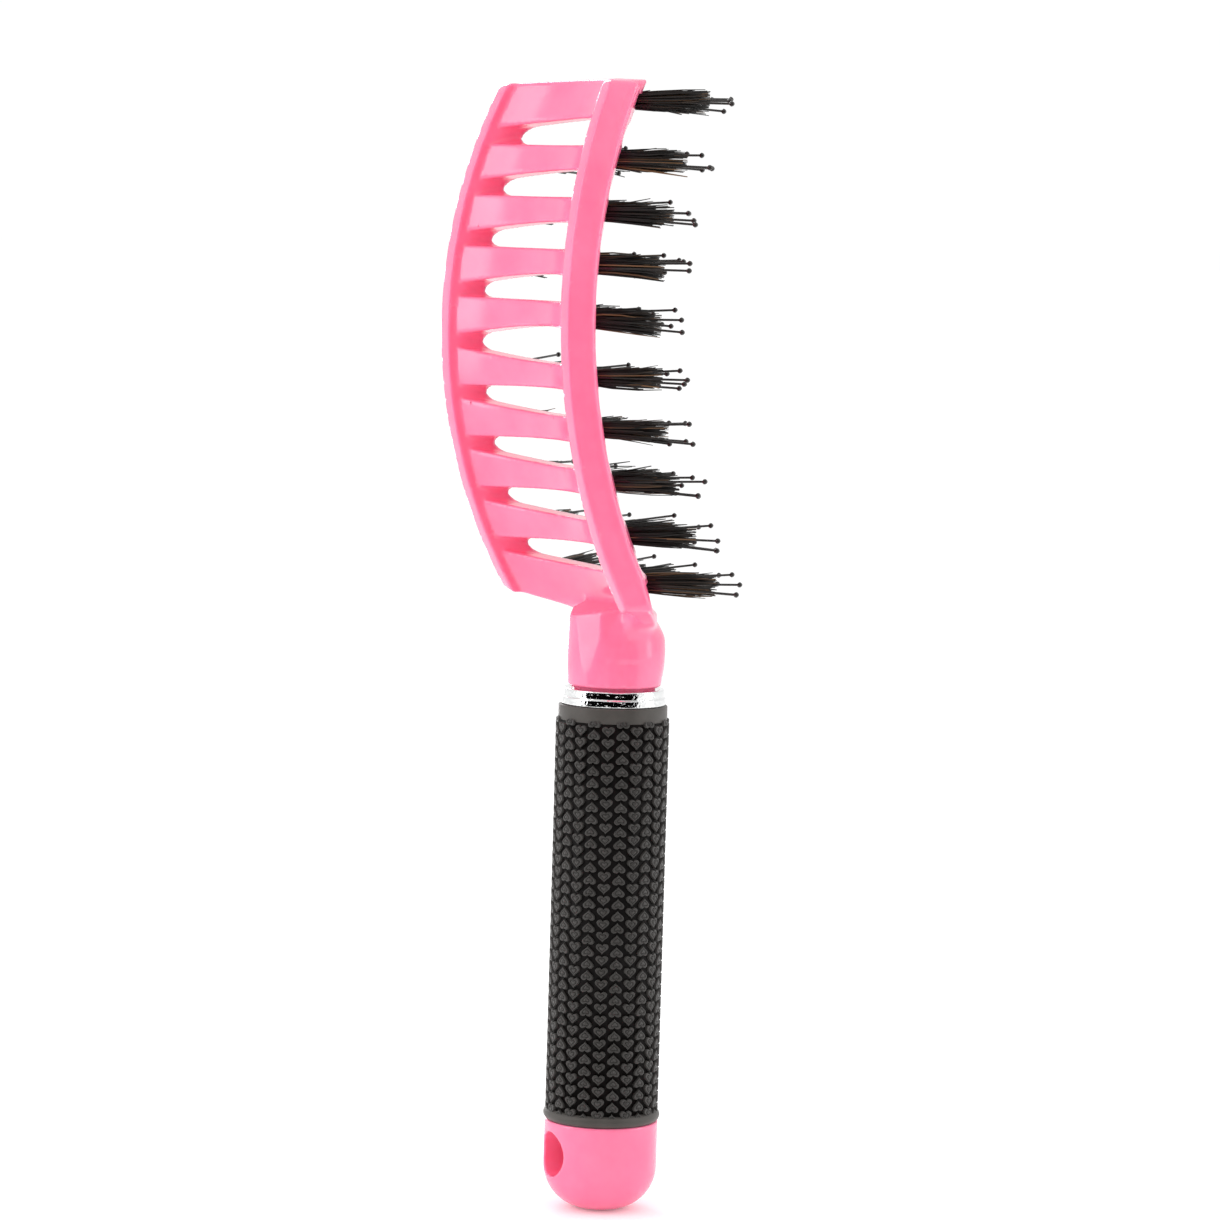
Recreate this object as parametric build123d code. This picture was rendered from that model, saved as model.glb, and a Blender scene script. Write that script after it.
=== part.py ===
"""Curved vent hair brush: a moulded open frame tufted with boar bristle and
ball-tipped pins, on a round handle with a plated ring, a rubber grip sleeve
and an end cap with a hang hole.

Millimetres. Origin on the handle's axis, at the centre of the hang hole.
+Z runs up the handle to the head, -Y is the bristle side, X is the width.
"""
from build123d import *
from math import asin, cos, sin, sqrt
import os

# ---- head: a saddle, bowed along Z about an axis parallel to X ----
CURVE_Y, CURVE_Z = -93.7, 182.5     # the axis of the bow
RAIL_BACK = 122.7                   # distances from that axis
RAIL_FRONT = 117.5
LIP_FRONT = 114.9
HALF_WIDTH = 33.4                   # rail outer side, at the widest height
WIDEST_Z = 164.2
SIDE_RADIUS = 467.0                 # the sides' bow in front view
RAIL_WIDTH = 4.3
LIP_INSET = 1.7
RAIL_TOP, CROWN_TOP = 232.6, 233.6
RAIL_BOTTOM = 121.2
CORNER = 2.0
RAIL_EDGE_R = 0.8                   # rounding of the rails' long edges
LIP_TOP_DROP = 0.3

# ---- rib panel, hollow across its width on the back ----
PANEL_HALF = 29.0                   # where the arcs' end points are given
PANEL_BACK_END, PANEL_BACK_MID = 121.2, 112.5
PANEL_FRONT_END, PANEL_FRONT_MID = 115.4, 107.0
PANEL_SWEEP = 70.0                  # degrees about the axis of the bow, past both ends
PANEL_INSET, PANEL_TOP_DROP = 2.3, 0.2

# ---- ribs and the vents between them ----
RIBS = 10
RIB_PITCH = 11.15
RIBS_CENTRE_Z = 176.2
RIB_HALF_END, RIB_HALF_MID = 4.2, 2.7
BOW_UP, BOW_DOWN = 1.3, 0.8         # how far a rib's middle stands off its ends
VENT_CORNER = 1.2
VENT_INSET = 0.3                    # the vents' ends stand this far in from the rails

# ---- tufts ----
TUFTS = 6
TUFT_PITCH = 9.4
TOP_ROW_RISE, BOTTOM_ROW_RISE = 1.5, 0.8    # these rows sit above their ribs' centres
HOLE_R, HOLE_DEPTH = 1.7, 4.0
BOAR_PROUD, BOAR_ROOT_R, BOAR_TIP_R = 13.5, 0.85, 1.9
PINS, PIN_PROUD, PIN_R, BALL_R = 2, 19.5, 0.25, 0.6
PIN_CIRCLE, PIN_SPLAY = 1.15, 3.6   # ring radius at the hole's floor, degrees
PIN_LIFT = 0.05                     # the pins' feet stand this far above the anchor
ANCHOR = (3.2, 0.5, 0.9)

# ---- neck, ring, grip and cap, all round about Z ----
NECK_BOTTOM, NECK_TOP = 102.8, 118.0
NECK_R, NECK_BELLY_R, NECK_BELLY_Z, NECK_WAIST_R = 10.5, 10.7, 110.0, 10.2
YOKE_TOP, YOKE_HALF_X = 123.9, 15.0
YOKE_BACK, YOKE_FRONT = 1.8, -2.6
YOKE_OVERLAP = 0.5                  # the yoke starts this far down inside the neck
SHANK_R, SHANK_BORE_R, SHANK_END = 9.0, 6.5, 5.8
SHANK_ROOF = 4.0                    # solid plastic above the shank's bore
RING_BOTTOM, RING_TOP = 98.6, 102.2
RING_LOW_R, RING_HIGH_R, RING_STEP, RING_EDGE_R = 11.4, 11.0, 100.3, 0.5
GRIP_BOTTOM, GRIP_TOP, GRIP_R = 7.2, 98.6, 12.2
COLLAR_R, COLLAR_BOTTOM = 11.9, 95.6
FLANGE_R, FLANGE_FOOT_R, FLANGE_LOW, FLANGE_HIGH, FLANGE_TOP = 12.75, 12.1, 7.9, 9.1, 9.9
CAP_R, CAP_BOTTOM, CAP_TOP, CAP_CORNER = 12.4, -12.4, 7.2, 9.6
SPIGOT_FOOT, SPIGOT_TOP = 3.0, 22.0 # how far the spigot starts inside the cap, and its end
HANG_R = 4.9

REACH = 80.0                        # longer than anything it cuts


def half_width(z, inset=0.0):
    """Half the head's width at height z, less an inset."""
    sag = SIDE_RADIUS - sqrt(SIDE_RADIUS**2 - (z - WIDEST_Z) ** 2)
    return HALF_WIDTH - inset - sag


def outline(inset, top_drop=0.0, corner=0.0):
    """The head's front view as a bar along Y: bowed sides, crowned top."""
    top, crown = RAIL_TOP - top_drop, CROWN_TOP - top_drop
    low, high = half_width(RAIL_BOTTOM, inset), half_width(top, inset)
    middle = half_width(WIDEST_Z, inset)
    edges = [
        ThreePointArc((-low, RAIL_BOTTOM), (-middle, WIDEST_Z), (-high, top)),
        ThreePointArc((-high, top), (0, crown), (high, top)),
        ThreePointArc((high, top), (middle, WIDEST_Z), (low, RAIL_BOTTOM)),
        Line((low, RAIL_BOTTOM), (-low, RAIL_BOTTOM)),
    ]
    face = make_face(edges)
    if corner:
        face = fillet(face.vertices().group_by(Axis.Y)[-1], corner)
    return extrude(Plane.XZ * face, REACH, both=True)


def bowed_tube(inner, outer):
    """The shell between two distances from the axis of the bow."""
    place = Pos(0, CURVE_Y, CURVE_Z) * Rot(0, 90, 0)
    return place * (Cylinder(outer, REACH) - Cylinder(inner, REACH))


def rails():
    """Both side rails: an outer bar with a lip set in along its front."""
    bar = outline(0, corner=CORNER) - outline(RAIL_WIDTH, top_drop=-5)
    bar &= bowed_tube(RAIL_FRONT, RAIL_BACK)
    nearly_full = (RAIL_TOP - RAIL_BOTTOM) * 0.9
    soft = [e for e in bar.edges() if e.length > nearly_full]
    bar = fillet(soft, RAIL_EDGE_R)
    lip = outline(LIP_INSET, top_drop=LIP_TOP_DROP) - outline(RAIL_WIDTH, top_drop=-5)
    lip &= bowed_tube(LIP_FRONT, RAIL_FRONT + 1)
    return bar + lip


def rib_centre(row, x=PANEL_HALF):
    """Height of a rib's centre line at x. Row 0 is at the top."""
    from_middle = (RIBS - 1) / 2 - row
    bow = BOW_UP if from_middle > 0 else -BOW_DOWN
    return RIBS_CENTRE_Z + from_middle * RIB_PITCH + bow * (1 - (x / PANEL_HALF) ** 2)


def rib_half(x):
    """Half a rib's height at x: it narrows to the middle."""
    return RIB_HALF_MID + (RIB_HALF_END - RIB_HALF_MID) * (x / PANEL_HALF) ** 2


def vent(row):
    """The slot between a rib and the one below it, as a bar along Y."""
    side = half_width((rib_centre(row) + rib_centre(row + 1)) / 2, RAIL_WIDTH + VENT_INSET)
    high = [rib_centre(row, x) - rib_half(x) for x in (side, 0)]
    low = [rib_centre(row + 1, x) + rib_half(x) for x in (side, 0)]
    edges = [
        ThreePointArc((-side, high[0]), (0, high[1]), (side, high[0])),
        Line((side, high[0]), (side, low[0])),
        ThreePointArc((side, low[0]), (0, low[1]), (-side, low[0])),
        Line((-side, low[0]), (-side, high[0])),
    ]
    face = make_face(edges)
    return extrude(Plane.XZ * fillet(face.vertices(), VENT_CORNER), REACH, both=True)


def panel():
    """The rib panel: arched across, bowed along, with the vents cut out."""
    edge = HALF_WIDTH + 1

    def carried_on(end, mid):
        return mid + (end - mid) * (edge / PANEL_HALF) ** 2

    back_end = carried_on(PANEL_BACK_END, PANEL_BACK_MID)
    front_end = carried_on(PANEL_FRONT_END, PANEL_FRONT_MID)
    section = make_face([
        ThreePointArc((-edge, back_end), (0, PANEL_BACK_MID), (edge, back_end)),
        Line((edge, back_end), (edge, front_end)),
        ThreePointArc((edge, front_end), (0, PANEL_FRONT_MID), (-edge, front_end)),
        Line((-edge, front_end), (-edge, back_end)),
    ])
    axis = Axis((0, CURVE_Y, CURVE_Z), (1, 0, 0))
    sheet = revolve(Pos(0, CURVE_Y, CURVE_Z) * section, axis, PANEL_SWEEP)
    sheet = sheet.rotate(axis, -PANEL_SWEEP / 2)
    sheet &= outline(PANEL_INSET, top_drop=PANEL_TOP_DROP)
    for row in range(RIBS - 1):
        sheet -= vent(row)
    return sheet


def neck():
    """The round neck, the yoke that carries it up to the lowest rib, and the shank."""
    belly = (NECK_BELLY_R, NECK_BELLY_Z)
    side = Spline((NECK_R, NECK_TOP), belly, (NECK_WAIST_R, NECK_BOTTOM))
    outer = make_face([
        Line((0, NECK_BOTTOM), (NECK_WAIST_R, NECK_BOTTOM)),
        side,
        Line((NECK_R, NECK_TOP), (0, NECK_TOP)),
        Line((0, NECK_TOP), (0, NECK_BOTTOM)),
    ])
    body = revolve(Plane.XZ * outer, Axis.Z)
    middle_y = (YOKE_BACK + YOKE_FRONT) / 2
    yoke = loft([
        Pos(0, 0, NECK_TOP - YOKE_OVERLAP) * Ellipse(NECK_R, NECK_R - 0.01),
        Pos(0, middle_y, YOKE_TOP) * Ellipse(YOKE_HALF_X, (YOKE_BACK - YOKE_FRONT) / 2),
    ])
    shank_length = NECK_BOTTOM + 1 - SHANK_END
    shank = Pos(0, 0, SHANK_END) * Cylinder(
        SHANK_R, shank_length, align=(Align.CENTER, Align.CENTER, Align.MIN))
    bore = Pos(0, 0, SHANK_END) * Cylinder(
        SHANK_BORE_R, shank_length - SHANK_ROOF, align=(Align.CENTER, Align.CENTER, Align.MIN))
    return body + yoke + (shank - bore)


def front_distance(x):
    """Distance of the panel's front from the axis of the bow, at x."""
    rise = PANEL_FRONT_END - PANEL_FRONT_MID
    return PANEL_FRONT_MID + rise * (x / PANEL_HALF) ** 2


def tuft_planes(row):
    """One plane per tuft: origin on the rib's front face, normal along the tuft."""
    sag = PANEL_BACK_END - PANEL_BACK_MID
    arch_radius = (PANEL_HALF**2 + sag**2) / (2 * sag)
    rise = {0: TOP_ROW_RISE, RIBS - 1: BOTTOM_ROW_RISE}.get(row, 0)
    places = []
    for i in range(TUFTS):
        x = (i - (TUFTS - 1) / 2) * TUFT_PITCH
        z = rib_centre(row, x) + rise
        y = CURVE_Y + sqrt(front_distance(x) ** 2 - (z - CURVE_Z) ** 2)
        fan = asin(x / arch_radius)
        places.append(Plane((x, y, z), x_dir=(0, 0, 1), z_dir=(sin(fan), -cos(fan), 0)))
    return places


def upright(radius, low, high):
    """A cylinder about local Z from one height to another."""
    return Pos(0, 0, low) * Cylinder(
        radius, high - low, align=(Align.CENTER, Align.CENTER, Align.MIN))


def head_frame():
    """The head moulding with its tuft holes drilled."""
    body = rails() + panel() + neck()
    drill = upright(HOLE_R, -HOLE_DEPTH, 4)
    for row in range(RIBS):
        body -= [place * drill for place in tuft_planes(row)]
    return body


def boar_tuft():
    """A bundle of hair as one solid, straight in its hole and flared above it."""
    root = upright(BOAR_ROOT_R, -HOLE_DEPTH + ANCHOR[2], 0.5)
    flare = BOAR_PROUD - 0.5
    top = Pos(0, 0, 0.5) * Cone(
        BOAR_ROOT_R, BOAR_TIP_R, flare, align=(Align.CENTER, Align.CENTER, Align.MIN))
    return root + top


def pin():
    """One ball-tipped pin, from the hole's floor up."""
    foot = -HOLE_DEPTH + ANCHOR[2] + PIN_LIFT
    return upright(PIN_R, foot, PIN_PROUD) + Pos(0, 0, PIN_PROUD) * Sphere(BALL_R)


def pin_ring():
    """The pins of one tuft, splayed outward either side of the bundle."""
    ring = []
    for i in range(PINS):
        around = Rot(0, 0, (i + 0.5) * 360 / PINS)
        lean = Pos(PIN_CIRCLE, 0, -HOLE_DEPTH) * Rot(0, PIN_SPLAY, 0) * Pos(0, 0, HOLE_DEPTH)
        ring.append(around * lean * pin())
    return ring


def anchor():
    """The flat wire anchor that holds a tuft at its hole's floor."""
    return Pos(0, 0, -HOLE_DEPTH + ANCHOR[2] / 2) * Box(*ANCHOR)


def chrome_ring():
    """The plated ring: two stepped bands, slightly rounded."""
    low = upright(RING_LOW_R, RING_BOTTOM, RING_STEP)
    high = upright(RING_HIGH_R, RING_STEP, RING_TOP)
    band = low + high - upright(SHANK_R, RING_BOTTOM - 1, RING_TOP + 1)
    rims = [e for e in band.edges() if e.geom_type == GeomType.CIRCLE and e.radius > 10]
    upward = sorted(rims, key=lambda e: e.center().Z)
    return fillet([upward[0], upward[-1]], RING_EDGE_R)


def grip_sleeve():
    """The rubber sleeve: plain collar, patterned barrel, flange at the foot."""
    profile = Polyline(
        (SHANK_R, GRIP_BOTTOM), (FLANGE_FOOT_R, GRIP_BOTTOM), (FLANGE_R, FLANGE_LOW),
        (FLANGE_R, FLANGE_HIGH), (GRIP_R, FLANGE_TOP), (GRIP_R, COLLAR_BOTTOM),
        (COLLAR_R, COLLAR_BOTTOM), (COLLAR_R, GRIP_TOP), (SHANK_R, GRIP_TOP), close=True)
    return revolve(Plane.XZ * make_face(profile), Axis.Z)


def end_cap():
    """The end cap: a rounded plug with a spigot up the shank and a cross hole."""
    cap = fillet(upright(CAP_R, CAP_BOTTOM, CAP_TOP).edges().sort_by(Axis.Z)[0], CAP_CORNER)
    cap -= upright(SHANK_R, SHANK_END, CAP_TOP + 1)
    cap += upright(SHANK_BORE_R, CAP_TOP - SPIGOT_FOOT, SPIGOT_TOP)
    return cap - Rot(90, 0, 0) * Cylinder(HANG_R, REACH)


def save(node, solids):
    """Write one node's STEP: its one solid, or a group of like solids."""
    shape = solids[0] if len(solids) == 1 else Compound(children=solids)
    export_step(shape, f"parts/{node}.step")


def main():
    os.makedirs("parts", exist_ok=True)
    save("head_frame", [head_frame()])
    save("chrome_ring", [chrome_ring()])
    save("grip_sleeve", [grip_sleeve()])
    save("end_cap", [end_cap()])
    bundle, ring, clip = boar_tuft(), pin_ring(), anchor()
    for row in range(RIBS):
        places = tuft_planes(row)
        name = f"row_{row + 1:02d}"
        save(f"boar_tufts_{name}", [p * bundle for p in places])
        save(f"ball_pins_{name}", [p * one for p in places for one in ring])
        save(f"tuft_anchors_{name}", [p * clip for p in places])


main()
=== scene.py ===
"""Looks for the curved vent hair brush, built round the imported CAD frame.

Sizes are in millimetres, in the CAD's own frame: origin at the centre of the hang hole, +Z up
the handle, -Y the bristle side. Each mesh is scaled to metres as it is made.
"""

import math
from itertools import product

import bpy
import numpy as np
from mathutils import Matrix, Vector


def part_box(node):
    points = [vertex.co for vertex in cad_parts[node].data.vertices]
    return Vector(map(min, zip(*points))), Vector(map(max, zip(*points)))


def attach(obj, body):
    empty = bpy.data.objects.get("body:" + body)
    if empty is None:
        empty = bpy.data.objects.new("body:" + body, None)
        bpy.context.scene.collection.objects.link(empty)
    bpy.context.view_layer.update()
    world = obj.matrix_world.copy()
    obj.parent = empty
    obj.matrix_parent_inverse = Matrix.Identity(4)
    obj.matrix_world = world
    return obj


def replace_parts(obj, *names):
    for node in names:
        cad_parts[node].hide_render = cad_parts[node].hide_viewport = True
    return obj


MM = 0.001
rng = np.random.default_rng(7)

# ---- head ----
CURVE_Y, CURVE_Z = -93.7, 182.5     # axis of the head's bow, parallel to X
RAIL_BACK, RAIL_FRONT = 122.7, 116.4
RAIL_WIDTH = 4.3
BEAD_R = 0.85                       # the bead along each rail's front outer edge
HALF_WIDTH, WIDEST_Z, SIDE_RADIUS = 33.4, 164.2, 467.0
RAIL_TOP, CROWN = 232.6, 1.0
PANEL_HALF = 29.0
PANEL_BACK_END, PANEL_BACK_MID = 120.8, 112.5
PANEL_THICK = 5.6
RIBS, RIB_PITCH, RIBS_CENTRE_Z = 10, 11.15, 176.2
RIB_HALF_END, RIB_HALF_MID = 4.2, 2.7
BOW_UP, BOW_DOWN = 1.3, 0.8
NECK_R, NECK_BOTTOM, NECK_TOP = 10.4, 102.8, 119.3
YOKE_BOTTOM = 109
SHANK_R, SHANK_BOTTOM, SHANK_TOP = 9.0, 99.2, 106
HEAD_STEP = 0.56                    # spacing of the grid the head's skin is made on

# ---- tufts ----
TUFTS, TUFT_PITCH, TOP_ROW_RISE, BOTTOM_ROW_RISE = 6, 9.4, 1.5, 0.8
BOAR_LENGTH, PIN_LENGTH = 13.5, 19.5
HAIRS, PINS = 78, 2
HOLE_DEPTH = 2.0                    # how far a hair or pin is sunk into its rib
PIN_R = 0.25

# ---- ring, grip, cap ----
BORE_R = 9.05                       # inside the ring and the sleeve
RING_BOTTOM, RING_TOP, RING_STEP = 98.6, 102.2, 100.05
RING_R, RING_TOP_R = 11.4, 11.05
GRIP_BOTTOM, GRIP_TOP = 7.2, 98.6
HEART_R, GAP_R = 12.35, 11.75
HEART_COLUMNS, HEART_ROWS, HEART_PITCH = 24, 33, 2.617
FIRST_HEART_Z, HEART_SHIFT = 9.95, 0.65
COLLAR_BOTTOM, FLANGE_TOP = 95.6, 9.2
HEART_WIDTH, HEART_HEIGHT = 3.0, 2.35
CAP_R, CAP_CORNER, CAP_BOTTOM, CAP_TOP, HANG_R = 12.4, 9.6, -12.4, 7.2, 4.9

# ---- studio ----
CURTAIN_R, CURTAIN_LOW, CURTAIN_TOP = 1030, -11.5, 430


# ---------------------------------------------------------------- mesh helpers

def piece(name, points, faces, smooth=True):
    """A mesh object from points in millimetres."""
    mesh = bpy.data.meshes.new(name)
    mesh.from_pydata((np.asarray(points) * MM).tolist(), [], faces)
    mesh.validate()
    mesh.update()
    if smooth:
        mesh.polygons.foreach_set("use_smooth", [True] * len(mesh.polygons))
    made = bpy.data.objects.new(name, mesh)
    bpy.context.scene.collection.objects.link(made)
    return made


def soft_max(a, b, r):
    """The greater of two distances, with the corner between them rounded over r."""
    near = np.maximum(r - np.abs(a - b), 0)
    return np.maximum(a, b) + near * near / (4 * r)


def soft_min(a, b, r):
    return -soft_max(-a, -b, r)


def skin(field, low, high, step):
    """Quads over the surface where field is zero, pulled onto it after a first rough pass."""
    axes = [np.arange(a, b, step) for a, b in zip(low, high)]
    grid = np.meshgrid(*axes, indexing="ij")
    inside = field(*grid) < 0
    n = inside.shape
    full = np.zeros([m - 1 for m in n], np.int8)
    for i, j, k in product((0, 1), repeat=3):
        full += inside[i:n[0] - 1 + i, j:n[1] - 1 + j, k:n[2] - 1 + k]
    crossed = (full > 0) & (full < 8)
    number = np.full(crossed.shape, -1)
    number[crossed] = np.arange(crossed.sum())
    points = np.argwhere(crossed) * step + np.asarray(low) + step / 2
    quads = []
    for axis in range(3):
        a = np.take(inside, range(n[axis] - 1), axis)
        b = np.take(inside, range(1, n[axis]), axis)
        u, v = (axis + 1) % 3, (axis + 2) % 3
        for leaves in (True, False):
            at = np.argwhere((a != b) & (a == leaves))
            ring = []
            for du, dv in ((-1, -1), (0, -1), (0, 0), (-1, 0)):
                cell = at.copy()
                cell[:, u] += du
                cell[:, v] += dv
                ring.append(number[tuple(cell.T)])
            ring = np.stack(ring, 1)
            quads.append(ring if leaves else ring[:, ::-1])
    eps = step * 0.2
    for _ in range(5):
        value = field(*points.T)
        slope = np.stack([
            (field(*(points + d).T) - field(*(points - d).T)) / (2 * eps)
            for d in np.eye(3) * eps], 1)
        size = np.maximum((slope ** 2).sum(1), 0.05)
        pull = np.clip(value / size, -step * 0.5, step * 0.5)
        points = points - slope * pull[:, None]
    return points, np.concatenate(quads).tolist()


def lathe(outline, sides=96):
    """A closed surface turned about Z from (radius, height) points, from the bottom up."""
    points, faces = [], []
    for r, z in outline:
        for i in range(sides):
            a = 2 * math.pi * i / sides
            points.append((r * math.cos(a), r * math.sin(a), z))
    rows = len(outline)
    for row in range(rows):
        up = (row + 1) % rows
        for i in range(sides):
            j = (i + 1) % sides
            faces.append((row * sides + i, row * sides + j, up * sides + j, up * sides + i))
    return points, faces


def arc(centre, radius, start, end, steps=6):
    """Points on a round corner, in degrees, for a lathe outline."""
    turns = np.radians(np.linspace(start, end, steps + 1))
    return [(centre[0] + radius * math.cos(t), centre[1] + radius * math.sin(t)) for t in turns]


# ---------------------------------------------------------------- materials

def linear(code):
    """sRGB hex to the linear colour that a socket takes."""
    parts = [int(code[i:i + 2], 16) / 255 for i in (1, 3, 5)]
    return [c / 12.92 if c <= 0.04045 else ((c + 0.055) / 1.055) ** 2.4 for c in parts] + [1]


def node(tree, kind, settings=(), **links):
    """Adds a node, sets attributes and socket values, and links its inputs."""
    made = tree.nodes.new(kind)
    for key, value in dict(settings).items():
        if hasattr(made, key):
            setattr(made, key, value)
        else:
            made.inputs[key].default_value = value
    for key, source in links.items():
        tree.links.new(source, made.inputs[key.replace("_", " ")])
    return made


def new_material(name):
    made = bpy.data.materials.new(name)
    made.use_nodes = True
    tree = made.node_tree
    return made, tree, tree.nodes["Principled BSDF"]


def shade(shader, **values):
    for key, value in values.items():
        shader.inputs[key.replace("_", " ")].default_value = value


def ramp(tree, source, stops):
    """A colour ramp from (position, colour) pairs."""
    made = node(tree, "ShaderNodeValToRGB", Fac=source)
    band = made.color_ramp
    band.elements[0].position, band.elements[0].color = stops[0]
    band.elements[1].position, band.elements[1].color = stops[-1]
    for position, colour in stops[1:-1]:
        band.elements.new(position).color = colour
    return made


def noise(tree, size_mm, detail=3.0, roughness=0.5):
    """Noise whose features are about size_mm across."""
    where = node(tree, "ShaderNodeTexCoord").outputs["Object"]
    values = {"Scale": 1 / (size_mm * MM), "Detail": detail, "Roughness": roughness}
    return node(tree, "ShaderNodeTexNoise", values, Vector=where)


def moulded_pink():
    """Injection-moulded ABS from a polished tool: clear gloss over a faintly cloudy pink, with the
    slow waviness that shrinkage leaves in thick sections."""
    made, tree, shader = new_material("moulded_gloss_abs_pink")
    cloud = noise(tree, 9.0)
    tint = ramp(tree, cloud.outputs["Fac"],
                [(0.3, linear("#FF7299")), (0.7, linear("#FF7DA2"))])
    tree.links.new(tint.outputs["Color"], shader.inputs["Base Color"])
    fine = noise(tree, 0.5)
    gloss = node(tree, "ShaderNodeMapRange",
                 {"To Min": 0.13, "To Max": 0.2}, Value=fine.outputs["Fac"])
    tree.links.new(gloss.outputs["Result"], shader.inputs["Roughness"])
    wave = noise(tree, 6.0, 1.0)
    bump = node(tree, "ShaderNodeBump", {"Strength": 0.05, "Distance": 0.0004},
                Height=wave.outputs["Fac"])
    tree.links.new(bump.outputs["Normal"], shader.inputs["Normal"])
    shade(shader, IOR=1.53, Subsurface_Weight=0.35, Subsurface_Scale=0.003,
          Subsurface_Radius=(1.0, 0.35, 0.45))
    return made


def plated_chrome():
    """Bright nickel-chrome plating over a moulded ring: a mirror with a faint ripple in it."""
    made, tree, shader = new_material("plated_chrome")
    ripple = noise(tree, 1.0, 2.0)
    bump = node(tree, "ShaderNodeBump", {"Strength": 0.5, "Distance": 0.0003},
                Height=ripple.outputs["Fac"])
    tree.links.new(bump.outputs["Normal"], shader.inputs["Normal"])
    shade(shader, Base_Color=linear("#E4E5E5"), Metallic=1.0, Roughness=0.06)
    return made


def moulded_rubber(name, low, high, sheen=0.12, gloss=0.35):
    """Compression-moulded thermoplastic rubber: a soft dark skin with a fine matt grain and a
    dusty bloom that lifts its grazing edges."""
    made, tree, shader = new_material(name)
    patches = noise(tree, 4.0)
    tint = ramp(tree, patches.outputs["Fac"], [(0.3, linear(low)), (0.7, linear(high))])
    tree.links.new(tint.outputs["Color"], shader.inputs["Base Color"])
    grain = noise(tree, 0.12, 4.0, 0.6)
    dull = node(tree, "ShaderNodeMapRange",
                {"To Min": 0.42, "To Max": 0.6}, Value=grain.outputs["Fac"])
    tree.links.new(dull.outputs["Result"], shader.inputs["Roughness"])
    bump = node(tree, "ShaderNodeBump", {"Strength": 0.25, "Distance": 0.00006},
                Height=grain.outputs["Fac"])
    tree.links.new(bump.outputs["Normal"], shader.inputs["Normal"])
    shade(shader, IOR=1.52, Sheen_Weight=sheen, Sheen_Roughness=0.5, Specular_IOR_Level=gloss)
    return made


def boar_bristle():
    """Natural boar bristle, bleached unevenly: almost black with brown hairs among it and a waxy
    streaked shine along each hair."""
    made, tree, shader = new_material("natural_boar_bristle")
    hair = node(tree, "ShaderNodeAttribute", {"attribute_name": "hair"})
    tint = ramp(tree, hair.outputs["Fac"], [
        (0.0, linear("#0E0B09")), (0.6, linear("#191310")), (0.88, linear("#2A1F17")),
        (1.0, linear("#7A5A3C"))])
    tree.links.new(tint.outputs["Color"], shader.inputs["Base Color"])
    scales = noise(tree, 0.15, 2.0)
    rough = node(tree, "ShaderNodeMapRange",
                 {"To Min": 0.35, "To Max": 0.55}, Value=scales.outputs["Fac"])
    tree.links.new(rough.outputs["Result"], shader.inputs["Roughness"])
    shade(shader, IOR=1.55, Specular_IOR_Level=0.3)
    return made


def pin_nylon():
    """Extruded black nylon pins with tips dipped to a bead: glossy, a touch uneven in tone."""
    made, tree, shader = new_material("extruded_nylon_black")
    mottle = noise(tree, 1.2)
    tint = ramp(tree, mottle.outputs["Fac"], [(0.3, linear("#14110F")), (0.7, linear("#241D19"))])
    tree.links.new(tint.outputs["Color"], shader.inputs["Base Color"])
    fine = noise(tree, 0.2)
    gloss = node(tree, "ShaderNodeMapRange",
                 {"To Min": 0.14, "To Max": 0.26}, Value=fine.outputs["Fac"])
    tree.links.new(gloss.outputs["Result"], shader.inputs["Roughness"])
    shade(shader, IOR=1.53)
    return made


def anchor_wire():
    """Flat brass staple wire, drawn: straw yellow with lengthwise die lines."""
    made, tree, shader = new_material("drawn_brass_wire")
    lines = noise(tree, 0.1, 2.0)
    rough = node(tree, "ShaderNodeMapRange",
                 {"To Min": 0.25, "To Max": 0.4}, Value=lines.outputs["Fac"])
    tree.links.new(rough.outputs["Result"], shader.inputs["Roughness"])
    shade(shader, Base_Color=linear("#C9A45A"), Metallic=1.0)
    return made


# ---------------------------------------------------------------- the head

def half_width(z):
    """Half the head's width at height z."""
    return HALF_WIDTH - SIDE_RADIUS + np.sqrt(SIDE_RADIUS**2 - (z - WIDEST_Z) ** 2)


def rib_centre(row, x):
    """Height of a rib's centre line at x. Row 0 is at the top."""
    from_middle = (RIBS - 1) / 2 - row
    bow = BOW_UP if from_middle > 0 else -BOW_DOWN
    return RIBS_CENTRE_Z + from_middle * RIB_PITCH + bow * (1 - (x / PANEL_HALF) ** 2)


def rib_half(x):
    """Half a rib's height at x: it narrows to the middle."""
    return RIB_HALF_MID + (RIB_HALF_END - RIB_HALF_MID) * (x / PANEL_HALF) ** 2


def bow_distance(y, z):
    """Distance from the axis of the head's bow."""
    return np.hypot(y - CURVE_Y, z - CURVE_Z)


def top_edge(x, z):
    """Height above the crowned top edge."""
    return z - RAIL_TOP - CROWN * (1 - np.minimum((x / 25.0) ** 2, 1))


def bottom_edge(x, z):
    """Depth below the head's bottom edge, which drops from the rails' ends to the neck."""
    return 117.0 + 0.0049 * x**2 - z


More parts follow.
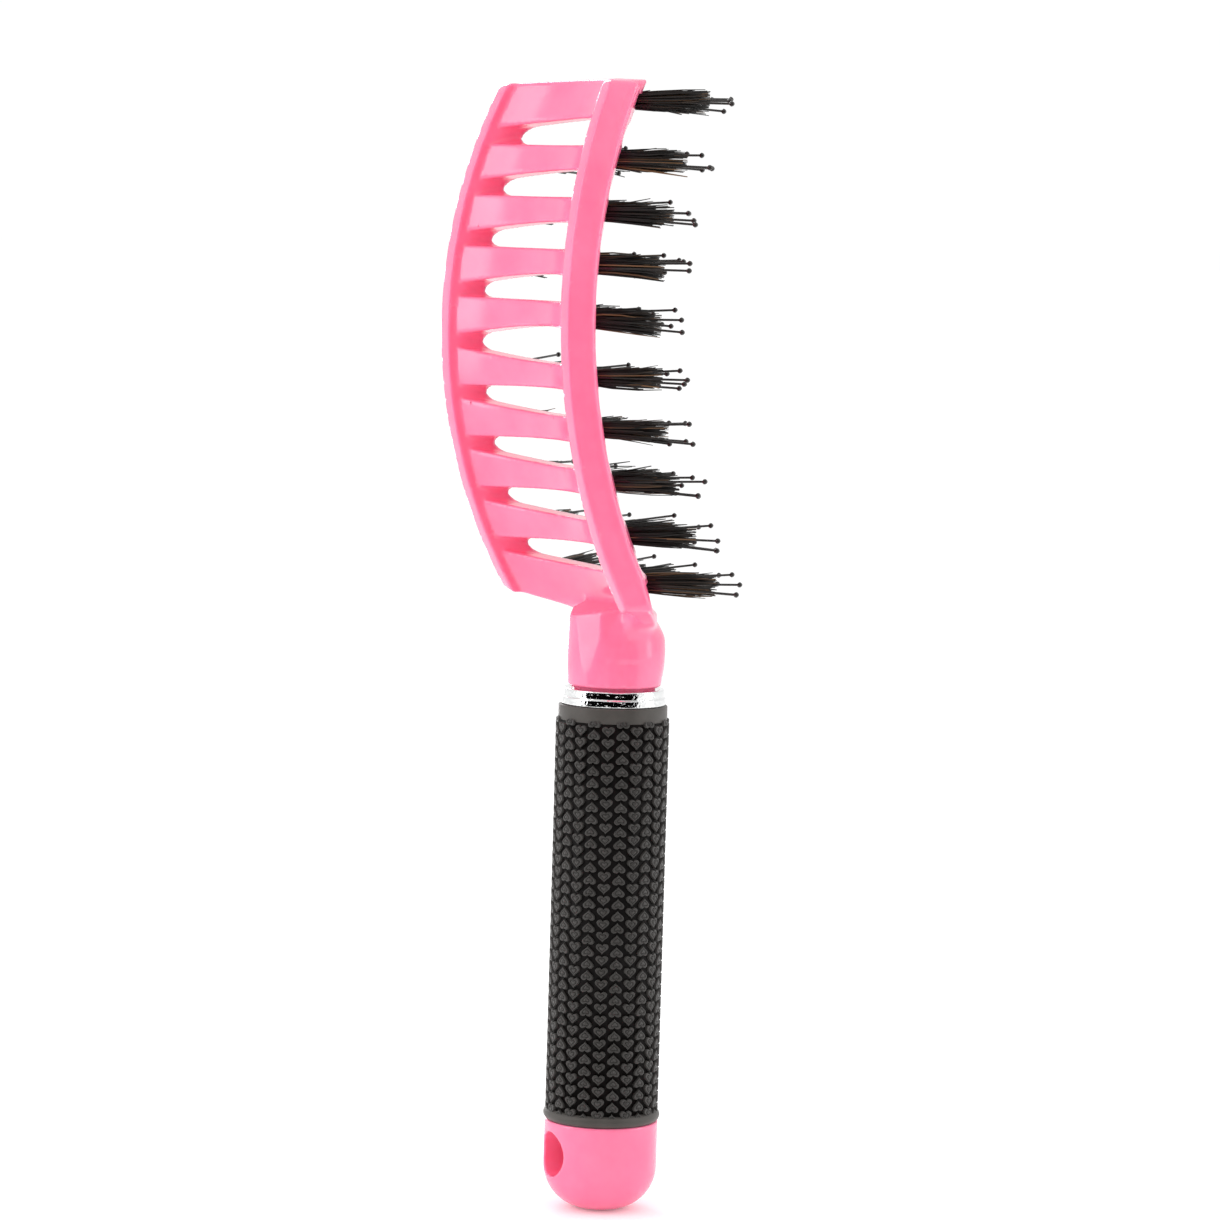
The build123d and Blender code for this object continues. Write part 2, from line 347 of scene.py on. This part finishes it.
def rails(x, y, z):
    """Both side rails: a bar with soft edges and a bead along its front outer edge."""
    inward = half_width(z) - np.abs(x)
    away = bow_distance(y, z)
    side = np.abs(inward - RAIL_WIDTH / 2 - 0.15) - RAIL_WIDTH / 2 + 0.15
    depth = np.abs(away - (RAIL_BACK + RAIL_FRONT) / 2) - (RAIL_BACK - RAIL_FRONT) / 2
    bar = soft_max(side, depth, 0.45)
    bead = np.hypot(inward - BEAD_R, away - RAIL_FRONT - BEAD_R) - BEAD_R
    top = top_edge(x, z)
    corners = np.maximum(soft_max(-inward, top, 3.0), soft_max(away - RAIL_BACK, top, 1.6))
    return soft_max(soft_min(bar, bead, 0.3), corners, 0.5)


def panel(x, y, z):
    """The rib panel: hollow across its back, bowed along, with nine vents through it."""
    wide = half_width(z) - RAIL_WIDTH
    rise = PANEL_BACK_END - PANEL_BACK_MID
    back = PANEL_BACK_MID + rise * (x / wide) ** 2
    tilt = np.sqrt(1 + (2 * rise * x / wide**2) ** 2)
    away = bow_distance(y, z)
    sheet = np.maximum(away - back, back - PANEL_THICK * tilt - away) / tilt
    end_round = 0.3 + 3.4 * np.clip((back - away) / PANEL_THICK, 0, 1)
    vents = np.full(np.shape(x), 1e3)
    for row in range(RIBS - 1):
        above = z - (rib_centre(row, x) - rib_half(x))
        below = (rib_centre(row + 1, x) + rib_half(x)) - z
        slot = soft_max(np.maximum(above, below), np.abs(x) - wide, end_round)
        vents = np.minimum(vents, slot)
    sheet = soft_max(sheet, -vents, 0.7)
    return soft_max(np.maximum(sheet, np.abs(x) - wide - 2), top_edge(x, z), 0.8)


def neck(x, y, z):
    """The neck: round, a little full in front, cut to flats where it meets the head."""
    swell = 0.65 * np.exp(-((z - 110) / 6) ** 2) * np.clip(-y / NECK_R, 0, 1)
    waist = 0.25 * np.exp(-((z - NECK_BOTTOM) / 3) ** 2)
    brow = 0.1 * np.maximum(z - 112.6, 0) ** 2 * np.clip(-y * 0.2, 0, 1)
    flare = 0.026 * np.clip(z - 115.5, 0, 3) ** 2 * np.abs(x) * np.clip((y + 4) / 8, 0, 1)
    body = np.hypot(x, y) - NECK_R - swell + waist + brow - flare
    side = np.abs(x)
    kite = 0.5045 * side + 0.8634 * y + 0.063 * (z - 106) - NECK_R
    shoulder = 0.88 * side + 0.476 * y + 0.09 * (z - 112.6) - NECK_R + 0.2
    body = soft_max(body, kite, 0.15)
    body = soft_max(body, shoulder, 0.15)
    body = soft_max(body, z - NECK_TOP + 0.3 * (y - 7), 0.4)
    return soft_max(body, NECK_BOTTOM - z, 0.5)


def yoke(x, y, z):
    """The web that spreads the neck into the lowest rib."""
    up = np.clip((z - 112) / 10, 0, 1)
    wide = NECK_R + (22 - NECK_R) * up ** 2.2
    deep = NECK_R * 0.9 * (1 - up) + 3.0 * up
    middle = up * (-2.4 + 9.0 * (x / 27) ** 2)
    flat = np.hypot(x / wide, (y - middle) / deep) - 1
    return soft_max(soft_max(flat * deep, YOKE_BOTTOM - z, 1), z - NECK_TOP, 0.6)


def head_field(x, y, z):
    """Distance, near enough, from the surface of the whole head moulding."""
    frame_part = soft_min(rails(x, y, z), panel(x, y, z), 0.12)
    # Under the chin the rails' lower ends are cut back on a slope.
    over = np.maximum(z - 127, 0)
    chin = 0.91 * (5.9 + 0.25 * (z - over - 120) - 3 * over - 0.45 * (31 - np.abs(x)) - y)
    frame_part = soft_max(soft_max(frame_part, chin, 1.6), bottom_edge(x, z), 0.9)
    # The top front corners are rounded, over the rails only.
    front = 113.6 - bow_distance(y, z) - 2 * np.maximum(half_width(z) - 5.5 - np.abs(x), 0)
    frame_part = np.maximum(frame_part, soft_max(front, top_edge(x, z), 6.0))
    lower = soft_min(neck(x, y, z), yoke(x, y, z), 1.0)
    body = soft_min(frame_part, lower, 2.4)
    shank = np.maximum(np.hypot(x, y) - SHANK_R, SHANK_BOTTOM - z)
    return np.minimum(body, np.maximum(shank, z - SHANK_TOP))


def make_head(material):
    low, high = (-34.6, -13, 98), (34.7, 30.4, 235)
    made = piece("vent_head", *skin(head_field, low, high, HEAD_STEP))
    made.data.materials.append(material)
    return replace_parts(made, "head_frame")


# ---------------------------------------------------------------- tufts

def tuft_frames(row):
    """For each tuft of a row: its root on the rib's front face, and its direction."""
    sag = PANEL_BACK_END - PANEL_BACK_MID
    arch = (PANEL_HALF**2 + sag**2) / (2 * sag)
    rise = {0: TOP_ROW_RISE, RIBS - 1: BOTTOM_ROW_RISE}.get(row, 0)
    for i in range(TUFTS):
        x = (i - (TUFTS - 1) / 2) * TUFT_PITCH
        z = rib_centre(row, x) + rise
        front = PANEL_BACK_MID - PANEL_THICK + sag * (x / PANEL_HALF) ** 2
        y = CURVE_Y + math.sqrt(front**2 - (z - CURVE_Z) ** 2)
        fan = math.asin(x / arch)
        yield Vector((x, y, z)), Vector((math.sin(fan), -math.cos(fan), 0))


def strand(points, faces, marks, path, radii, sides, mark):
    """A tapered rod along a path, closed at its far end."""
    start = len(points)
    way = (path[-1] - path[0]).normalized()
    across = way.orthogonal().normalized()
    other = way.cross(across)
    for at, r in zip(path, radii):
        for i in range(sides):
            a = 2 * math.pi * i / sides
            points.append(at + (across * math.cos(a) + other * math.sin(a)) * r)
            marks.append(mark)
    for ring in range(len(path) - 1):
        base = start + ring * sides
        for i in range(sides):
            j = (i + 1) % sides
            faces.append((base + i, base + j, base + sides + j, base + sides + i))
    faces.append(tuple(range(start + sides - 1, start - 1, -1)))
    last = start + (len(path) - 1) * sides
    faces.append(tuple(range(last, last + sides)))


def make_boar(row, material):
    """One row's hair: bundles of tapered bristles, cut a little unevenly and splayed."""
    points, faces, marks = [], [], []
    for root, out in tuft_frames(row):
        u = out.orthogonal().normalized()
        v = out.cross(u)
        lean = u * rng.normal(0, 0.03) + v * rng.normal(0, 0.03)
        for _ in range(HAIRS):
            turn, spread = rng.uniform(0, 2 * math.pi), math.sqrt(rng.uniform(0, 1))
            side = u * math.cos(turn) + v * math.sin(turn)
            stray = 2.4 if rng.uniform() > 0.96 else 1.0
            length = BOAR_LENGTH * (1.06 - 0.4 * rng.uniform() ** 2)
            foot = root + side * spread * 1.45 - out * HOLE_DEPTH
            swing = side * spread * rng.uniform(0.2, 0.95) * stray + (lean + side * 0.02) * length
            kink = u * rng.normal(0, 0.22) + v * rng.normal(0, 0.22)
            path = [foot + out * (length + HOLE_DEPTH) * t + swing * t**1.4
                    + kink * math.sin(math.pi * t) for t in (0, 0.35, 0.7, 1.0)]
            girth = rng.uniform(0.15, 0.26)
            radii = [girth, girth, girth * 0.9, girth * 0.55]
            strand(points, faces, marks, path, radii, 4, rng.uniform())
    made = piece(f"boar_bristles_{row + 1:02d}", points, faces)
    made.data.attributes.new("hair", "FLOAT", "POINT").data.foreach_set("value", marks)
    made.data.materials.append(material)
    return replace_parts(made, f"boar_tufts_row_{row + 1:02d}")


def make_pins(row, material):
    """One row's ball-tipped pins: thin rods that splay from the edge of each tuft."""
    points, faces, marks = [], [], []
    ball = [(0.0, PIN_R), (0.1, 0.28), (0.25, 0.5), (0.5, 0.6), (0.75, 0.5), (0.93, 0.28),
            (1.0, 0.06)]
    for root, out in tuft_frames(row):
        u = out.orthogonal().normalized()
        v = out.cross(u)
        offset = rng.uniform(0, 2 * math.pi)
        for i in range(PINS):
            turn = offset + 2 * math.pi * (i + rng.uniform(-0.25, 0.25)) / PINS
            side = u * math.cos(turn) + v * math.sin(turn)
            length = PIN_LENGTH * rng.uniform(0.93, 1.0)
            foot = root + side * 1.1 - out * HOLE_DEPTH
            swing = side * rng.uniform(0.4, 2.3)

            def at(d):
                t = d / (length + 2.6)
                return foot + out * d + swing * t**1.3

            path = [at(d) for d in (0, length * 0.35, length * 0.7)]
            radii = [PIN_R] * 3
            tip = length + HOLE_DEPTH - 0.6
            path += [at(tip + 1.2 * t) for t, r in ball]
            radii += [r for t, r in ball]
            strand(points, faces, marks, path, radii, 8, 0)
    made = piece(f"ball_pins_{row + 1:02d}", points, faces)
    made.data.materials.append(material)
    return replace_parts(made, f"ball_pins_row_{row + 1:02d}")


# ---------------------------------------------------------------- ring, grip, cap

def make_ring():
    """The plated ring: a bright band with rolled edges and a small step in it."""
    low, high = RING_BOTTOM, RING_TOP
    outline = [(BORE_R, low)] + arc((11.0, low + 0.4), 0.4, -90, 0) + [(RING_R, low + 0.5)]
    outline += [(RING_R, RING_STEP)] + arc((11.15, 100.15), 0.25, 0, 80, 4)
    outline += [(RING_TOP_R, 100.45), (RING_TOP_R, 100.6), (RING_TOP_R, high - 0.5)]
    outline += arc((10.7, high - 0.35), 0.35, 0, 90) + [(BORE_R, high)]
    made = piece("plated_ring", *lathe(outline, 128))
    made.data.materials.append(plated_chrome())
    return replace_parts(made, "chrome_ring")


def heart_outline(count=24):
    """A small heart, point down, about one unit wide and high, centred."""
    t = np.linspace(0, 2 * math.pi, count, endpoint=False)
    x = 16 * np.sin(t) ** 3
    y = 13 * np.cos(t) - 5 * np.cos(2 * t) - 2 * np.cos(3 * t) - np.cos(4 * t)
    return np.stack([x / 33, (y + 2.3) / 29], 1)


def make_hearts(material):
    """The raised pattern: columns of hearts, point down and point up by turns, each with a
    smaller heart pressed into its face."""
    rings = [(1.0, GAP_R - 0.2), (0.97, HEART_R - 0.1), (0.88, HEART_R), (0.62, HEART_R),
             (0.57, HEART_R - 0.22), (0.46, HEART_R - 0.22), (0.41, HEART_R - 0.03)]
    shape = heart_outline()
    count = len(shape)
    points, faces = [], []
    for column, row in product(range(HEART_COLUMNS), range(HEART_ROWS + 1)):
        flip = -1 if column % 2 else 1
        if flip > 0 and row == HEART_ROWS:
            continue
        centre_z = FIRST_HEART_Z + row * HEART_PITCH - (0 if flip > 0 else HEART_SHIFT)
        centre_a = 2 * math.pi * column / HEART_COLUMNS
        start = len(points)
        for scale, r in rings:
            for px, pz in shape * scale:
                a = centre_a + px * HEART_WIDTH / HEART_R
                z = centre_z + pz * HEART_HEIGHT * flip
                # Under the collar and the flange the hearts are sunk to nothing.
                limit = 11.8 if z > COLLAR_BOTTOM else 12.2 if z < FLANGE_TOP else r
                sunk = min(r, limit)
                points.append((sunk * math.cos(a), sunk * math.sin(a), z))
        for k in range(len(rings) - 1):
            for i in range(count):
                j = (i + 1) % count
                quad = (start + k * count + i, start + k * count + j,
                        start + (k + 1) * count + j, start + (k + 1) * count + i)
                faces.append(quad if flip < 0 else quad[::-1])
        top = tuple(start + (len(rings) - 1) * count + i for i in range(count))
        faces.append(top if flip < 0 else top[::-1])
    made = piece("grip_hearts", points, faces)
    made.data.materials.append(material)
    return made


def make_grip():
    """The sleeve under the pattern: plain collar, sunk barrel and a flange at the foot."""
    outline = [(BORE_R, GRIP_BOTTOM), (11.9, GRIP_BOTTOM)]
    outline += arc((11.45, 8.5), 1.3, -50, 60, 10) + [(GAP_R - 0.2, 9.9), (BORE_R, 10.1)]
    foot = piece("grip_flange", *lathe(outline, 144))
    outline = [(BORE_R, COLLAR_BOTTOM - 0.6), (GAP_R - 0.1, COLLAR_BOTTOM - 0.5),
               (11.86, COLLAR_BOTTOM)]
    outline += arc((11.55, GRIP_TOP - 0.3), 0.3, 0, 90, 4) + [(BORE_R, GRIP_TOP)]
    collar = piece("grip_collar", *lathe(outline, 144))
    outline = [(BORE_R, 8.0), (GAP_R, 8.0), (GAP_R, 97.0), (BORE_R, 97.0)]
    barrel = piece("grip_barrel", *lathe(outline, 144))
    plain = moulded_rubber("moulded_rubber_plain", "#3B3733", "#45413D")
    for part in (foot, collar):
        part.data.materials.append(plain)
    # The barrel is the same rubber as the collar, coloured near-black with little gloss: painted
    # shade in the gaps between the hearts.
    dark = moulded_rubber("moulded_rubber_painted_gap_shade", "#0C0A09", "#141110", 0, 0.08)
    barrel.data.materials.append(dark)
    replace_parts(barrel, "grip_sleeve")
    return [foot, collar, barrel]


def cap_field(x, y, z):
    """The end cap: a rounded plug with a soft-edged cross hole."""
    out = np.hypot(x, y) - CAP_R + CAP_CORNER
    under = CAP_BOTTOM + CAP_CORNER - z
    body = np.hypot(np.maximum(out, 0), np.maximum(under, 0)) - CAP_CORNER
    body = body + np.minimum(np.maximum(out, under), 0)
    body = soft_max(body, z - CAP_TOP, 0.3)
    return soft_max(body, HANG_R - np.hypot(x, z), 0.4)


def make_cap(material):
    made = piece("hang_cap", *skin(cap_field, (-13.1, -13.1, -13.2), (13.2, 13.2, 8.1), 0.33))
    made.data.materials.append(material)
    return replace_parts(made, "end_cap")


# ---------------------------------------------------------------- stage

def make_floor(level):
    """A plain pale floor, wide enough to fill the background."""
    material, _, shader = new_material("matt_paint_white")
    shade(shader, Base_Color=linear("#F4F4F4"), Roughness=0.9, Emission_Color=linear("#FFFFFF"),
          Emission_Strength=0.12)
    reach = 40.0 / MM
    floor = piece("floor", [(a * reach, b * reach, level) for a, b in
                            ((-1, -1), (1, -1), (1, 1), (-1, 1))], [(0, 1, 2, 3)])
    floor.data.materials.append(material)


def area_light(name, place, target, size, power):
    """A white soft box, given in metres and watts."""
    data = bpy.data.lights.new(name, "AREA")
    data.shape = "RECTANGLE"
    data.size, data.size_y = size
    data.energy = power
    lamp = bpy.data.objects.new(name, data)
    bpy.context.scene.collection.objects.link(lamp)
    lamp.location = place
    lamp.visible_camera = False
    lamp.rotation_euler = (Vector(target) - Vector(place)).to_track_quat("-Z", "Y").to_euler()


def make_world():
    """An even white studio all round."""
    world = bpy.data.worlds.new("studio")
    bpy.context.scene.world = world
    world.use_nodes = True
    shade(world.node_tree.nodes["Background"], Color=(1, 1, 1, 1), Strength=1.02)


def make_dark_side():
    """A low dark curtain round one side of the studio, its uneven hem drawn in over the floor.
    It is seen only in reflections."""
    material, _, shader = new_material("dark_curtain")
    shade(shader, Base_Color=linear("#050505"), Roughness=1.0, Specular_IOR_Level=0.0)
    points, faces = [], []
    for i, degrees in enumerate(range(84, 209, 4)):
        a = math.radians(degrees + rng.uniform(-1.5, 1.5))
        hem = rng.uniform(250, 500)
        for r, z in ((hem, CURTAIN_LOW), (CURTAIN_R, CURTAIN_LOW), (CURTAIN_R, CURTAIN_TOP)):
            points.append((r * math.cos(a), r * math.sin(a), z))
        if i:
            now = 3 * i
            faces += [(now - 3 + k, now + k, now + k + 1, now - 2 + k) for k in (0, 1)]
    curtain = piece("dark_curtain", points, faces, smooth=False)
    curtain.data.materials.append(material)
    curtain.visible_camera = curtain.visible_shadow = curtain.visible_diffuse = False


def make_camera():
    """From behind the -X rail, level with the head's middle and looking a little down."""
    data = bpy.data.cameras.new("camera")
    data.lens, data.sensor_width = 130.5, 36.0
    camera = bpy.data.objects.new("camera", data)
    bpy.context.scene.collection.objects.link(camera)
    place = Vector((-0.86049, 0.41993, 0.20015))
    forward = Vector((0.89607, -0.43582, -0.08436))
    right = Vector((-0.43500, -0.89997, 0.02887))
    up = right.cross(forward)
    turn = Matrix((right, up, -forward)).transposed().to_4x4()
    camera.matrix_world = Matrix.Translation(place) @ turn
    data.clip_end = 50
    bpy.context.scene.camera = camera


# ---------------------------------------------------------------- assembly

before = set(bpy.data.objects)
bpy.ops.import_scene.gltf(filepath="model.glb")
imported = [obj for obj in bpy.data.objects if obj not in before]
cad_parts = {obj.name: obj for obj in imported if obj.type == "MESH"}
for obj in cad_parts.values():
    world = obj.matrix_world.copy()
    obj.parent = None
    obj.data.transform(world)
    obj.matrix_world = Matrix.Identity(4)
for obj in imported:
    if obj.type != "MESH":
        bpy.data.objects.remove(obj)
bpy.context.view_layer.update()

make_camera()
make_world()
make_floor(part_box("end_cap")[0].z / MM)
make_dark_side()
area_light("side_strip", (0.8, -0.14, 0.2), (0, 0, 0.17), (0.14, 1.6), 5)
area_light("back_box", (0.15, 0.95, 0.35), (0, 0, 0.15), (0.35, 1.2), 4.5)
area_light("right_box", (-0.5, -0.9, 0.4), (0, 0, 0.15), (0.3, 1.2), 3)

pink = moulded_pink()
rubber = moulded_rubber("moulded_rubber_pattern", "#2B2825", "#353230")
hair, nylon, brass = boar_bristle(), pin_nylon(), anchor_wire()

made = [(make_head(pink), "head_plastic"), (make_ring(), "ring_chrome"),
        (make_hearts(rubber), "grip_rubber"), (make_cap(pink), "cap_plastic")]
made += [(part, "grip_rubber") for part in make_grip()]
for row in range(RIBS):
    made.append((make_boar(row, hair), "boar_hair"))
    made.append((make_pins(row, nylon), "pin_nylon"))
    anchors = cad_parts[f"tuft_anchors_row_{row + 1:02d}"]
    anchors.data.materials.clear()
    anchors.data.materials.append(brass)
for thing, slot in made:
    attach(thing, "root")

bpy.context.scene.view_settings.view_transform = "Standard"
